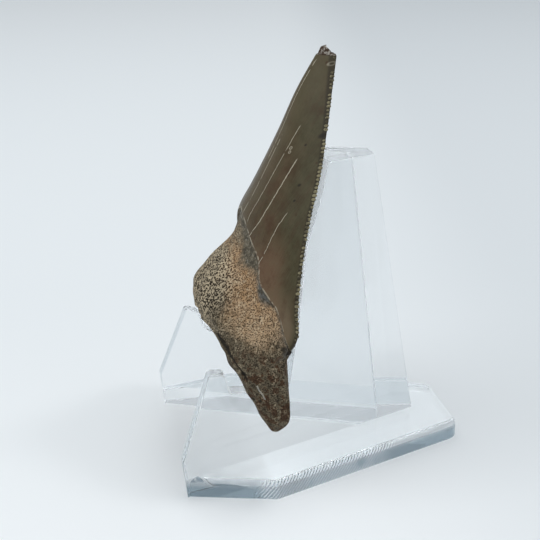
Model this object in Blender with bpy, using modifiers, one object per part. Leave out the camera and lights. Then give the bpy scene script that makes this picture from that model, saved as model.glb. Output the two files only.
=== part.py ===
"""A fossil megalodon tooth that leans on a clear moulded display stand.

Lengths below are millimetres, and MM turns them into Blender's metres.
The ground is z = 0, the tooth shows its lingual face towards -Y, and the
origin is on the ground under the middle of the object.
"""
import math

import bmesh
import bpy
import numpy as np
from mathutils import Matrix

MM = 0.001

# Stand: two upright wings that meet in a V, on a foot flange
WING_HALF_ANGLE = math.radians(22.5)
WING_LEAN = 0.10
WING_THICK = 2.3
WING_TAPER = 0.0425
WING_REACH = 49.2
WING_HEIGHT = 50.0
FOOT_THICK = 3.2
FOOT_EDGE_ROUND = 0.8

# One wing's outline: distance from the back corner, height
WING_OUTLINE = [
    (2.8, 0.0), (WING_REACH, 0.0), (WING_REACH, 6.0), (42.4, 19.6), (39.6, 19.0),
    (39.0, 15.7), (28.1, 13.6), (24.5, 25.0), (23.5, 29.5), (21.45, 37.3),
    (18.05, 43.7), (16.6, 47.25), (15.7, WING_HEIGHT), (6.3, WING_HEIGHT)]
WING_CORNER_ROUND = {2: 1.2, 3: 0.9, 4: 0.9, 5: 0.5, 6: 0.8, 12: 0.6}

# Half of the foot's plan, which the mirror completes
FOOT_PLAN = [
    (-2.0, 3.2), (8.0, 3.2), (22.5, -31.6), (18.6, -45.2), (17.4, -45.2),
    (0.8, -5.0), (-2.0, -5.0)]
FOOT_CORNER_ROUND = {1: 3.0, 2: 2.0, 3: 0.5}

# The stand's corner is this far behind the middle of the object
CORNER_Y = 21.4

# Tooth: heights of the broken tip, the blade's shoulders and the core stub
TIP = 66.2
SHOULDER = 24.8
CORE_RINGS = [(66.3, 0.8), (66.9, 0.5), (67.35, 0.25)]
CORE_PEAK = (0.2, -18.2, 67.8)
CORE_MIDDLE_Y = -18.4
CORE_RAGGED = 0.08

# Blade, each against height: half width, cutting edge's y, lingual ridge's y
HALF_WIDTH = [(66.2, 2.4), (62, 4.6), (55, 8.8), (45, 14.3), (36, 18.9),
              (31, 21.2), (28, 22.2), (26, 22.1), (24.8, 21.3)]
EDGE_Y = [(66.2, -17.2), (61, -18.6), (54.5, -20.5), (49.4, -22.1), (42.7, -24.7),
          (35.3, -26.9), (30.5, -27.85), (27.5, -28.0), (24.8, -28.9)]
RIDGE_Y = [(66.2, -20.05), (61.5, -22.85), (53.8, -26.45), (49.1, -28.8), (44.7, -31.1),
           (41.7, -32.8), (37, -34.2), (33, -36.45), (24.8, -36.0)]
BLADE_CROWN = 1.75
LABIAL_SWELL = [(66.2, 0.15), (34, 0.15), (29, 0.13), (24.8, 0.12)]

# Foot of the enamel on the lingual face: distance from the middle, height
NECK = [(0, 41.8), (3.3, 40.5), (6.6, 38.2), (10.9, 35.5), (12.6, 33.6),
        (15.4, 31.6), (18.1, 29.6), (19.4, 27.2), (21.0, 24.6)]
NECK_GROOVE = 0.45
NECK_GROOVE_START = (0, 1.5)
NECK_GROOVE_END = (2, 6)

# Bulge of the root under the neck: its size in the middle and at the sides
BULGE_MIDDLE = 4.65
BULGE_SIDE = 5.3
BULGE_RISE = (5.0, 17.2)
BULGE_SPREAD = 14.0
RELIEF_RISE = (1.5, 4.0)
SIDE_FADE = 0.12

# Root under the shoulders, against how far down its column a point is
ROOT_HALF_WIDTH = [(0, 21.3), (0.1, 21.2), (0.3, 21.9), (0.6, 21.7), (0.85, 20.6), (1, 18.5)]
ARCH = [(0, 17.6), (6, 17.0), (10, 15.6), (12.6, 14.9), (14.0, 14.2), (15.3, 12.2),
        (16.3, 10.4), (17.3, 9.6), (18.5, 10.8)]
MIDDLE_Y = [(0, -28.7), (1, -29.05)]
LOBE_Y = [(0, -28.7), (0.2, -30.2), (0.6, -29.5), (0.9, -30.0), (1, -31.6)]
MIDDLE_DEPTH = [(0, 9.4), (0.5, 8.0), (1, 5.0)]
LOBE_DEPTH = [(0, 9.2), (0.5, 8.9), (1, 7.4)]
MIDDLE_BACK = 2.2
LOBE_BACK = 1.2
LOBE_SQUARENESS = 4.0
BASE_SQUARENESS = 6.0
LOBE_SPAN = (4, 17)
BLADE_TO_ROOT = 0.3

# Serrations of the cutting edges, and the chips out of them
SERRATION_PITCH = 0.64
SERRATION_HEIGHT = 0.13
SERRATION_REACH = 0.035
SERRATION_FADE = 2.5
EDGE_CHIPS = [(1, 64.9, 0.45, 0.7), (1, 61.1, 0.35, 0.3), (1, 53.0, 0.3, 0.5),
              (-1, 57.5, 0.4, 0.6), (-1, 41.0, 0.3, 0.5)]

# Pits of the lingual root: x, height, radius, depth
ROOT_PITS = [
    (2.0, 33.0, 1.0, 0.35), (5.5, 30.5, 0.9, 0.3), (9.0, 28.6, 0.9, 0.3),
    (-3.5, 31.5, 1.0, 0.35), (-7.5, 29.5, 0.9, 0.3), (-12.0, 27.5, 0.9, 0.3),
    (0.5, 26.5, 1.1, 0.5), (13.2, 25.8, 1.2, 0.35), (16.0, 20.0, 0.9, 0.3),
    (-16.5, 19.0, 1.0, 0.35), (-9.5, 24.0, 1.0, 0.3), (18.2, 14.8, 0.8, 0.3)]
LUMP_HEIGHT = 0.12

# Crevice across the lingual root towards the near lobe's side
CREVICE = [(10.6, 24.5), (15.0, 23.7), (17.3, 22.5), (18.8, 20.8), (19.8, 18.6), (20.2, 15.5)]
CREVICE_HALF_WIDTH = 0.6
CREVICE_DEPTH = 0.8

# Mesh density
ROWS_PER_CELL_ABOVE = 4
ROWS_PER_CELL_BELOW = 2
FINE_BELOW = 43.0
ROOT_ROWS = 26
ROOT_ROW_CROWDING = 1.6
COLUMNS = 24
LABIAL_SKIP = 3

TOOTH_COLOUR = (0.20, 0.15, 0.10, 1.0)
STAND_COLOUR = (0.90, 0.94, 0.97, 1.0)


def ramp(start, end, t):
    """Smooth step from 0 at start to 1 at end."""
    s = np.clip((t - start) / (end - start), 0, 1)
    return s * s * (3 - 2 * s)


def curve(points, t):
    """Smooth curve through (place, value) points, level beyond its ends."""
    points = np.array(sorted(points), float)
    place, value = points[:, 0], points[:, 1]
    t = np.clip(np.asarray(t, float), place[0], place[-1])
    step = np.diff(place)
    slope = np.diff(value) / step
    tangent = np.empty_like(value)
    tangent[0], tangent[-1] = slope[0], slope[-1]
    tangent[1:-1] = (slope[:-1] * step[1:] + slope[1:] * step[:-1]) / (step[:-1] + step[1:])
    i = np.clip(np.searchsorted(place, t, side="right") - 1, 0, len(step) - 1)
    s = (t - place[i]) / step[i]
    return ((2 * s**3 - 3 * s**2 + 1) * value[i] + (s**3 - 2 * s**2 + s) * step[i] * tangent[i]
            + (3 * s**2 - 2 * s**3) * value[i + 1] + (s**3 - s**2) * step[i] * tangent[i + 1])


def mix(a, b, weight):
    return a * (1 - weight) + b * weight


def distance_to_path(x, z, path):
    """Distance of every (x, z) from a polyline."""
    best = np.full(np.shape(x), 1e9)
    for (x0, z0), (x1, z1) in zip(path, path[1:]):
        length_squared = (x1 - x0) ** 2 + (z1 - z0) ** 2
        along = ((x - x0) * (x1 - x0) + (z - z0) * (z1 - z0)) / length_squared
        along = np.clip(along, 0, 1)
        best = np.minimum(best, np.hypot(x - x0 - along * (x1 - x0), z - z0 - along * (z1 - z0)))
    return best


def root_relief(x, z):
    """Depth by which pits, lumps and the crevice lower the lingual root."""
    lumps = (np.sin(0.9 * x + 0.5 * z) + np.sin(1.3 * z - 0.7 * x + 1.0)
             + np.sin(1.9 * x + 2.0) * np.sin(1.6 * z))
    depth = LUMP_HEIGHT * lumps
    for pit_x, pit_z, radius, pit_depth in ROOT_PITS:
        depth = depth + pit_depth * np.exp(-((x - pit_x) ** 2 + (z - pit_z) ** 2) / radius**2)
    away = distance_to_path(x, z, CREVICE) / CREVICE_HALF_WIDTH
    return depth + CREVICE_DEPTH * np.exp(-away**2)


def blade(u, z):
    """Blade at height z: x and both faces' y, for u from -1 to 1 across it."""
    half_width = curve(HALF_WIDTH, z)
    edge_y = curve(EDGE_Y, z) + 0 * u
    x = half_width * u
    below_neck = curve(NECK, np.abs(x)) - z
    face = (edge_y - curve(RIDGE_Y, z)) * (1 - np.abs(u) ** BLADE_CROWN)
    outward = np.abs(x) / BULGE_SPREAD
    bulge = mix(BULGE_MIDDLE, BULGE_SIDE, np.clip(outward, 0, 1))
    bulge = bulge * ramp(*BULGE_RISE, below_neck * (1 + outward))
    groove = ramp(*NECK_GROOVE_START, below_neck) * (1 - ramp(*NECK_GROOVE_END, below_neck))
    relief = root_relief(x, z) * ramp(*RELIEF_RISE, below_neck)
    swollen = np.where(below_neck > 0, bulge - NECK_GROOVE * groove - relief, 0)
    swollen = swollen * ramp(0, SIDE_FADE, 1 - np.abs(u))
    back = curve(LABIAL_SWELL, z) * half_width * (1 - u**2) ** 2
    return x, edge_y - face - swollen, edge_y + back


def root(u, q):
    """Root under the shoulders: x, z and both faces' y, for q from 0 to 1 down."""
    opened = ramp(0, BLADE_TO_ROOT, q)
    across = mix(u, np.sin(u * math.pi / 2), opened)
    half_width = curve(ROOT_HALF_WIDTH, q)
    x = across * half_width
    base_x = np.abs(across) * curve(ROOT_HALF_WIDTH, 1.0)
    z = SHOULDER - (SHOULDER - curve(ARCH, base_x)) * q
    lobe = ramp(*LOBE_SPAN, base_x)
    core_y = mix(curve(MIDDLE_Y, q), curve(LOBE_Y, q), lobe)
    depth = mix(curve(MIDDLE_DEPTH, q), curve(LOBE_DEPTH, q), lobe)
    round_side = np.sqrt(np.clip(1 - np.abs(across) ** LOBE_SQUARENESS, 0, 1))
    closing = np.sqrt(np.clip(1 - q**BASE_SQUARENESS, 0, 1))
    _, blade_lingual, _ = blade(u, SHOULDER)
    blade_depth = curve(EDGE_Y, SHOULDER) - blade_lingual
    carved = root_relief(x, z) * opened * np.clip(4 * (1 - across**2), 0, 1)
    front = mix(blade_depth, depth * round_side - carved, opened) * closing
    back_depth = mix(MIDDLE_BACK, LOBE_BACK, lobe) * np.sqrt(np.clip(1 - across**2, 0, 1))
    swell = curve(LABIAL_SWELL, SHOULDER) * half_width * (1 - across**2) ** 2
    back = mix(swell, back_depth, opened) * closing
    return x, z, core_y - front, core_y + back


def serration_heights():
    """Heights of the crests and gullets along the cutting edge, from the tip."""
    z = np.linspace(TIP, SHOULDER, 2000)
    edge = np.stack([curve(HALF_WIDTH, z), curve(EDGE_Y, z), z], axis=1)
    length = np.concatenate([[0], np.cumsum(np.linalg.norm(np.diff(edge, axis=0), axis=1))])
    pairs = round(length[-1] / SERRATION_PITCH)
    return np.interp(np.linspace(0, length[-1], 2 * pairs + 1), length, z)


def edge_offset(side, z, index):
    """How far a serration's crest or gullet lies outside the edge's mean line."""
    offset = SERRATION_HEIGHT * (1 if index % 2 else -1)
    fade = ramp(SHOULDER, SHOULDER + SERRATION_FADE, z)
    for chip_side, chip_z, depth, half_height in EDGE_CHIPS:
        if chip_side == side:
            offset = offset - depth * np.exp(-((z - chip_z) / half_height) ** 2)
    return offset * fade


def tooth_line(station, columns):
    """Where one cross line of the tooth runs: x, z and both faces' y."""
    kind, place = station
    if kind == "root":
        return root(columns, place)
    x, lingual_y, labial_y = blade(columns, place)
    return x, place + 0 * columns, lingual_y, labial_y


def tooth_stations():
    """Cross lines from the tip to the arch, and those that carry the cells."""
    heights = serration_heights()
    stations = [("blade", z) for z in heights]
    carriers = [0]
    while carriers[-1] < len(heights) - 1:
        fine = heights[carriers[-1]] < FINE_BELOW
        step = ROWS_PER_CELL_BELOW if fine else ROWS_PER_CELL_ABOVE
        carriers.append(min(carriers[-1] + step, len(heights) - 1))
    for k in range(1, ROOT_ROWS + 1):
        carriers.append(len(stations))
        stations.append(("root", 1 - (1 - k / ROOT_ROWS) ** ROOT_ROW_CROWDING))
    return stations, carriers


def tooth_edge(bm, side, stations):
    """Vertices down one cutting edge and the side of the root below it."""
    verts = []
    for i, (kind, place) in enumerate(stations):
        x, z, y, _ = tooth_line((kind, place), np.array([float(side)]))
        outside = edge_offset(side, place, i) if kind == "blade" else 0
        verts.append(bm.verts.new((x[0] + side * outside, y[0], z[0])))
    return verts


def fan_strip(bm, chain, first, second):
    """Triangles from a chain of vertices to the two that face it."""
    turn = len(chain) // 2
    for k in range(len(chain) - 1):
        bm.faces.new((chain[k], chain[k + 1], first if k < turn else second))
    bm.faces.new((chain[turn], first, second))


def tooth_sheet(bm, labial, columns, picks, stations, carriers, edges, seam=None):
    """One face of the tooth between the shared edges. Gives its top and foot rows."""
    rows = []
    for i in carriers:
        if i == carriers[-1] and seam:
            rows.append([seam[p] for p in picks])
            continue
        x, z, lingual_y, labial_y = tooth_line(stations[i], columns)
        y = labial_y if labial else lingual_y
        inner = [bm.verts.new((x[p], y[p], z[p])) for p in picks[1:-1]]
        rows.append([edges[-1][i], *inner, edges[1][i]])
    last = len(picks) - 1
    for n, (above, below) in enumerate(zip(carriers, carriers[1:])):
        upper, lower = rows[n], rows[n + 1]
        fan_strip(bm, edges[-1][above:below + 1], upper[1], lower[1])
        fan_strip(bm, edges[1][above:below + 1], upper[-2], lower[-2])
        for j in range(1, last - 1):
            if below == carriers[-1] and seam:
                foot = seam[picks[j]:picks[j + 1] + 1]
                fan_strip(bm, foot, upper[j], upper[j + 1])
            else:
                bm.faces.new((upper[j], lower[j], lower[j + 1], upper[j + 1]))
    return rows[0], rows[-1]


def build_tooth(collection, material):
    """One closed solid: blade, neck, root with its two lobes, broken tip."""
    bm = bmesh.new()
    stations, carriers = tooth_stations()
    edges = {side: tooth_edge(bm, side, stations) for side in (-1, 1)}
    inner = 1 - SERRATION_REACH
    columns = np.array([-1, *np.linspace(-inner, inner, COLUMNS + 1), 1])
    every = list(range(len(columns)))
    sparse = [0, *range(1, COLUMNS + 2, LABIAL_SKIP), len(columns) - 1]
    front_top, seam = tooth_sheet(bm, False, columns, every, stations, carriers, edges)
    back_top, _ = tooth_sheet(bm, True, columns, sparse, stations, carriers, edges, seam)
    cap_with_core(bm, front_top + back_top[-2:0:-1])
    bmesh.ops.triangulate(bm, faces=bm.faces)
    bmesh.ops.recalc_face_normals(bm, faces=bm.faces)
    place = Matrix.Translation((0, CORNER_Y * MM, 0)) @ Matrix.Diagonal((MM, MM, MM, 1))
    bmesh.ops.transform(bm, matrix=place, verts=bm.verts)
    return finish_object("tooth", bm, collection, material)


def cap_with_core(bm, ring):
    """Close the broken tip with the ragged stub of its core."""
    for n, (height, scale) in enumerate(CORE_RINGS):
        inner = []
        for k, vert in enumerate(ring):
            ragged = CORE_RAGGED * math.sin(2.3 * k + 1.7 * n)
            previous = 1.0 if n == 0 else CORE_RINGS[n - 1][1]
            shrink = scale / previous
            inner.append(bm.verts.new((vert.co.x * shrink,
                                       CORE_MIDDLE_Y + (vert.co.y - CORE_MIDDLE_Y) * shrink,
                                       height + ragged)))
        for k in range(len(ring)):
            following = (k + 1) % len(ring)
            bm.faces.new((ring[k], ring[following], inner[following], inner[k]))
        ring = inner
    peak = bm.verts.new(CORE_PEAK)
    for k in range(len(ring)):
        bm.faces.new((ring[k], ring[(k + 1) % len(ring)], peak))


def rounded_outline(points, corner_rounds, steps=3):
    """Outline whose listed corners are arcs of the given radius."""
    outline = []
    for i, corner in enumerate(points):
        radius = corner_rounds.get(i, 0)
        here = np.array(corner)
        if not radius:
            outline.append(tuple(here))
            continue
        to_previous = np.array(points[i - 1]) - here
        to_next = np.array(points[(i + 1) % len(points)]) - here
        to_previous = to_previous / np.linalg.norm(to_previous)
        to_next = to_next / np.linalg.norm(to_next)
        half = math.acos(np.clip(to_previous @ to_next, -1, 1)) / 2
        bisector = (to_previous + to_next) / np.linalg.norm(to_previous + to_next)
        centre = here + bisector * radius / math.sin(half)
        start = here + to_previous * radius / math.tan(half) - centre
        end = here + to_next * radius / math.tan(half) - centre
        for n in range(steps + 1):
            part = n / steps
            spoke = start * (1 - part) + end * part
            outline.append(tuple(centre + spoke * radius / np.linalg.norm(spoke)))
    return outline


def plate_mesh(points, thickness):
    """Flat plate of an outline, from z = -thickness / 2 to thickness / 2."""
    shape = bpy.data.curves.new("outline", "CURVE")
    shape.dimensions = "2D"
    shape.fill_mode = "BOTH"
    shape.extrude = thickness / 2
    spline = shape.splines.new("POLY")
    spline.points.add(len(points) - 1)
    for point, (x, y) in zip(spline.points, points):
        point.co = (x, y, 0, 1)
    spline.use_cyclic_u = True
    holder = bpy.data.objects.new("outline", shape)
    bpy.context.scene.collection.objects.link(holder)
    evaluated = holder.evaluated_get(bpy.context.evaluated_depsgraph_get())
    mesh = bpy.data.meshes.new_from_object(evaluated)
    bpy.data.objects.remove(holder)
    bpy.data.curves.remove(shape)
    bm = bmesh.new()
    bm.from_mesh(mesh)
    bpy.data.meshes.remove(mesh)
    bmesh.ops.remove_doubles(bm, verts=bm.verts, dist=0.001)
    bmesh.ops.dissolve_limit(bm, angle_limit=0.001, verts=bm.verts, edges=bm.edges)
    return bm


def finish_object(name, bm, collection, material):
    mesh = bpy.data.meshes.new(name)
    bm.to_mesh(mesh)
    bm.free()
    made = bpy.data.objects.new(name, mesh)
    made.data.materials.append(material)
    collection.objects.link(made)
    return made


def add_mirror(target):
    """Complete a half whose cut face lies in the plane x = 0."""
    mirror = target.modifiers.new("other half", "MIRROR")
    mirror.use_bisect_axis[0] = True
    mirror.use_clip = True
    mirror.merge_threshold = 0.00005
    return mirror


def build_wing(collection, material):
    """The +X wing, thicker towards the back corner, sheared into place."""
    bm = plate_mesh(rounded_outline(WING_OUTLINE, WING_CORNER_ROUND), WING_THICK)
    for vert in bm.verts:
        if vert.co.z > 0:
            vert.co.z += WING_TAPER * (WING_REACH - vert.co.x)
    sin, cos = math.sin(WING_HALF_ANGLE), math.cos(WING_HALF_ANGLE)
    shear = Matrix(((sin, 0, -1, -WING_THICK / 2),
                    (-cos, -WING_LEAN, 0, CORNER_Y),
                    (0, 1, 0, 0),
                    (0, 0, 0, 1)))
    bmesh.ops.transform(bm, matrix=Matrix.Diagonal((MM, MM, MM, 1)) @ shear, verts=bm.verts)
    bmesh.ops.recalc_face_normals(bm, faces=bm.faces)
    return finish_object("display_stand", bm, collection, material)


def build_foot(collection, material):
    """Half of the foot flange, its upper rim rounded."""
    bm = plate_mesh(rounded_outline(FOOT_PLAN, FOOT_CORNER_ROUND), FOOT_THICK)
    top = FOOT_THICK / 2
    rim = [e for e in bm.edges
           if all(v.co.z > top - 0.01 for v in e.verts) and e.calc_face_angle(0) > 1.0]
    bmesh.ops.bevel(bm, geom=rim, offset=FOOT_EDGE_ROUND, segments=2, affect="EDGES")
    raise_up = Matrix.Translation((0, CORNER_Y * MM, FOOT_THICK * MM / 2))
    bmesh.ops.transform(bm, matrix=raise_up @ Matrix.Diagonal((MM, MM, MM, 1)), verts=bm.verts)
    bmesh.ops.recalc_face_normals(bm, faces=bm.faces)
    foot = finish_object("foot", bm, collection, material)
    foot.hide_render = True
    foot.display_type = "WIRE"
    return foot


def build_stand(collection, cutters, material):
    """One moulding: both wings joined to the foot flange."""
    wing = build_wing(collection, material)
    add_mirror(wing)
    foot = build_foot(cutters, material)
    add_mirror(foot)
    join = wing.modifiers.new("foot flange", "BOOLEAN")
    join.operation = "UNION"
    join.solver = "MANIFOLD"
    join.object = foot
    return wing


def plain_material(name, colour, roughness):
    material = bpy.data.materials.new(name)
    material.use_nodes = True
    shader = material.node_tree.nodes["Principled BSDF"]
    shader.inputs["Base Color"].default_value = colour
    shader.inputs["Roughness"].default_value = roughness
    shader.inputs["Metallic"].default_value = 0.0
    material.diffuse_color = colour
    return material


def new_collection(name):
    made = bpy.data.collections.new(name)
    bpy.context.scene.collection.children.link(made)
    return made


def main():
    for old in list(bpy.data.objects):
        bpy.data.objects.remove(old)
    parts = new_collection("fossil_megalodon_tooth")
    cutters = new_collection("cutters")
    build_tooth(parts, plain_material("fossil", TOOTH_COLOUR, 0.5))
    build_stand(parts, cutters, plain_material("clear plastic", STAND_COLOUR, 0.08))


main()
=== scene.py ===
"""Looks of a fossil megalodon tooth that leans on a clear moulded display stand.

Lengths below are millimetres, and MM turns them into Blender's metres. The tooth's shape
is worked out from the same named sizes as its solid, on a much finer mesh.
"""
import math

import bmesh
import bpy
import numpy as np
from mathutils import Matrix, Vector, noise


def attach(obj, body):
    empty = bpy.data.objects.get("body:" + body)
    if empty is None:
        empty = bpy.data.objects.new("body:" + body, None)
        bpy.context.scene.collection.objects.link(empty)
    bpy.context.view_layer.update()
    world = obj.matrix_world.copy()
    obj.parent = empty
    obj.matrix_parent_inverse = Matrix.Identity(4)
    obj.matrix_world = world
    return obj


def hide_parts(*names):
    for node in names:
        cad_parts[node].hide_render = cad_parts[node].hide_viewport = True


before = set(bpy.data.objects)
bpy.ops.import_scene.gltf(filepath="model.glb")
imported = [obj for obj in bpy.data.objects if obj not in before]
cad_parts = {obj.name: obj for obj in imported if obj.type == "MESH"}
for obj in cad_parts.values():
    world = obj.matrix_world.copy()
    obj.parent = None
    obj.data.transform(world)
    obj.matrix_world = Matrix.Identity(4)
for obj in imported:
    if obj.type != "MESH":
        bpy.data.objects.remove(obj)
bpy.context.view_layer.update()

MM = 0.001

# Camera: where it stands, what it looks at, its roll and its lens
CAMERA_PLACE = (182.61, -40.21, 94.71)
CAMERA_TARGET = (-5.0, -5.78, 28.84)
CAMERA_ROLL = math.radians(-1.07)
CAMERA_LENS = 78.0

# The stand's corner is this far behind the middle of the object
CORNER_Y = 21.4

# Tooth: heights of the broken tip and the blade's shoulders
TIP = 66.2
SHOULDER = 24.8

# Broken tip: height and size of the rings round the stub of the core, and its peak
CORE_RINGS = [(66.28, 0.95), (66.35, 0.7), (66.7, 0.6), (67.1, 0.45), (67.45, 0.26)]
CORE_PEAK = (0.2, -18.35, 67.75)
CORE_MIDDLE_Y = -18.9
CORE_RAGGED = 0.10
CORE_GRAIN = 2.1
CORE_RING_SHIFT = 0.7

# Blade, each against height: half width, cutting edge's y, lingual ridge's y
HALF_WIDTH = [(66.2, 2.4), (62, 4.6), (55, 8.8), (45, 14.3), (36, 18.9),
              (31, 21.2), (28, 22.2), (26, 22.1), (24.8, 21.3)]
EDGE_Y = [(66.2, -17.2), (61, -18.6), (54.5, -20.5), (49.4, -22.1), (42.7, -24.7),
          (35.3, -26.9), (30.5, -27.85), (27.5, -28.0), (24.8, -28.9)]
RIDGE_Y = [(66.2, -20.05), (61.5, -22.85), (53.8, -26.45), (49.1, -28.8), (44.7, -31.1),
           (41.7, -32.8), (37, -34.2), (33, -36.45), (24.8, -36.0)]
BLADE_CROWN = 1.75
LABIAL_SWELL = [(66.2, 0.15), (34, 0.15), (29, 0.13), (24.8, 0.12)]

# Foot of the enamel: distance from the middle, height, on each face
NECK = [(0, 41.8), (3.3, 40.5), (6.6, 38.2), (10.9, 35.5), (12.6, 33.6),
        (15.4, 31.6), (18.1, 29.6), (19.4, 27.2), (21.0, 24.6)]
NECK_SPAN = 22
NECK_SAMPLES = 221
LABIAL_NECK = [(0, 21.6), (7, 22.4), (14, 24.2), (19, 26.2), (22.4, 26.0)]
LABIAL_BAND = 0.8
NECK_GROOVE = 0.5

# Dull band under the enamel: how far down it reaches, against the distance from the middle
BAND_REACH = [(0, 2.0), (4, 2.5), (8, 2.9), (10.4, 1.6), (12.0, 0.9), (13.4, 2.0),
              (14.8, 1.6), (16.4, 0.5), (18, 0.9), (22, 0.9)]
NECK_GROOVE_START = (0, 0.4)
NECK_GROOVE_END = (2, 6)

# Bulge of the root under the neck: its size in the middle and at the sides
BULGE_MIDDLE = 4.65
BULGE_SIDE = 5.3
BULGE_RISE = (5.0, 17.2)
BULGE_SPREAD = 14.0
RELIEF_RISE = (1.5, 4.0)
SIDE_FADE = 0.12

# Root under the shoulders, against how far down its column a point is
ROOT_HALF_WIDTH = [(0, 21.3), (0.1, 21.2), (0.3, 21.9), (0.6, 21.7), (0.85, 20.6), (1, 18.5)]
ARCH = [(0, 17.6), (6, 17.0), (10, 15.6), (12.6, 14.9), (14.0, 14.2), (15.3, 12.2),
        (16.3, 10.3), (17.3, 9.35), (18.5, 10.3)]
MIDDLE_Y = [(0, -28.7), (1, -29.05)]
LOBE_Y = [(0, -28.7), (0.2, -30.2), (0.6, -29.5), (0.9, -29.8), (1, -30.6)]
MIDDLE_DEPTH = [(0, 9.4), (0.5, 8.0), (1, 5.0)]
LOBE_DEPTH = [(0, 9.2), (0.5, 8.9), (1, 7.4)]
MIDDLE_BACK = 2.2
LOBE_BACK = 1.2
LOBE_SQUARENESS = 4.0
FRONT_SQUARENESS = 4.5
BACK_SQUARENESS = 12.0
LOBE_SPAN = (4, 17)
BLADE_TO_ROOT = 0.3
CARVING_FADE = 4

# Serrations of the cutting edges, and the chips out of them
SERRATION_PITCH = 0.64
SERRATION_HEIGHT = 0.13
SERRATION_FADE = 2.5
EDGE_CHIPS = [(1, 64.9, 0.45, 0.7), (1, 61.1, 0.35, 0.3), (1, 54.9, 0.45, 0.45),
              (-1, 57.5, 0.4, 0.6), (-1, 41.0, 0.3, 0.5)]

# Pits of the lingual root: x, height, radius, depth
ROOT_PITS = [
    (2.0, 33.0, 1.0, 0.35), (5.5, 30.5, 0.9, 0.3), (9.0, 28.6, 0.9, 0.3),
    (-3.5, 31.5, 1.0, 0.35), (-7.5, 29.5, 0.9, 0.3), (-12.0, 27.5, 0.9, 0.3),
    (0.5, 26.5, 1.1, 0.5), (13.2, 25.8, 1.2, 0.35), (16.0, 20.0, 0.9, 0.1),
    (-16.5, 19.0, 1.0, 0.35), (-9.5, 24.0, 1.0, 0.3), (18.2, 14.8, 0.8, 0.1)]

# Low lumps between them: radians to the millimetre in x and in height, and a phase
LUMP_HEIGHT = 0.08
LUMP_WAVES = [(0.9, 0.5, 0.0), (-0.7, 1.3, 1.0)]
LUMP_DIMPLES = [(1.9, 0.0, 2.0), (0.0, 1.6, 0.0)]

# Crevice across the lingual root towards the near lobe's side
CREVICE = [(11.2, 24.4), (15.0, 23.7), (17.3, 22.5), (18.8, 20.8), (19.3, 19.8)]
CREVICE_HALF_WIDTH = 0.45
CREVICE_DEPTH = 0.35
CREVICE_FAR = 9

# Mesh density of the tooth
CROWN_ROW = 0.4
NECK_ROW = 0.22
FINE_BELOW = 43.0
ROOT_ROWS = 84
ROOT_ROW_CROWDING = 1.6
LINGUAL_COLUMNS = 220
LABIAL_SKIP = 4

# Line that the beads follow: its ends, its points, and how it turns into the blade
EDGE_PATH_TOP = TIP - 0.3
EDGE_PATH_FOOT = SHOULDER + 1.2
EDGE_PATH_POINTS = 160
EDGE_LOOK = 0.96
LABIAL_SHARE = 0.3

# Beads of the serrations: half length into the blade, half width and half thickness
BEAD_REACH = 0.48
BEAD_HALF_WIDTH = 0.31
BEAD_HALF_THICK = 0.24
BEAD_SEGMENTS = 10
BEAD_RINGS = 8
BEAD_UNEVENNESS = 0.3
BEAD_SEED = 4
BEAD_FADE_START = 0.6
BEAD_LOST_TO_CHIP = 2.2
BEAD_MARKS = (("bead", 1.0), ("below_neck", -9.0))

# Cracks down the enamel, the last one a painted highlight along the lingual ridge: points (x,
# height) upwards, half width
CRACKS_AND_RIDGE_HIGHLIGHT = [
    ([(1.9, 41.9), (1.8, 53.6)], 0.10),
    ([(4.3, 41.0), (4.5, 55.5)], 0.09),
    ([(5.7, 37.8), (6.1, 38.9), (7.4, 41.5), (7.2, 50.8)], 0.13),
    ([(10.9, 35.7), (11.2, 43.3)], 0.09),
    ([(0.9, 50.5), (0.75, 65.2)], 0.1)]
CRACK_WOBBLE = 0.35

# Small marks of the enamel as x, height and radius: dark specks, and light-rimmed chips
EDGE_SPOTS = [(8.3, 54.9, 0.4), (7.1, 53.3, 0.16), (10.1, 47.7, 0.22), (11.0, 45.5, 0.18)]
RING_CHIPS = [(2.66, 65.1, 0.36), (5.1, 52.5, 0.26), (5.3, 51.9, 0.24)]

# Marks on the side of the near lobe as y, height and radius: holes, and a curved scar's path
ROOT_HOLES = [(-13.3, 16.3, 0.25), (-12.3, 16.4, 0.25), (-8.2, 24.2, 0.5), (-14.6, 20.6, 0.35)]
SCAR = [(-12.85, 19.2), (-12.6, 18.5), (-12.05, 17.7), (-11.7, 16.9)]
SCAR_HALF_WIDTH = 0.16
NEAR_LOBE = (15, 17)

# Pores of the root, to the millimetre
PORES_COARSE = 2.9
PORES_FINE = 4.2

# Floor: its gap under the foot, and its radius in metres
FLOOR_GAP = 0.08
FLOOR_RADIUS = 4.0

# Soft lights by place, size and power, in metres and watts, what they aim at, and the world
LIGHTS = [("key", (0.1, -0.55, 0.75), 0.7, 2.3), ("top", (-0.2, 0.2, 0.9), 0.35, 1.3),
          ("glint", (0.1, 0.6, 0.78), 0.14, 1.0)]
LIGHTS_AIM = (0, 0, 0.03)
WORLD_COLOUR = (0.84, 0.9, 0.95, 1)
WORLD_STRENGTH = 0.64

# Stand: two upright wings that meet in a V, on a foot flange
WING_HALF_ANGLE = math.radians(22.5)
WING_LEAN = 0.10
WING_THICK = 2.3
WING_TAPER = 0.0425
WING_REACH = 49.2
WING_HEIGHT = 50.0
WING_RIM_ROUND = 0.25
CORNER_FILLET = 0.7
FOOT_THICK = 3.2
FOOT_TOP_ROUND = 1.1
FOOT_RIM_ROUND = 0.2
ROUND_SEGMENTS = 4
SHARP_ANGLE = math.radians(35)

# Limits that tell the stand's edges apart: level, on the middle, long, and folded inwards
STAND_WELD = 0.001
MIRROR_WELD = 0.02
MIDDLE_EDGE = 0.04
LONG_EDGE = 20
INWARD_FOLD = -0.2

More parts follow.
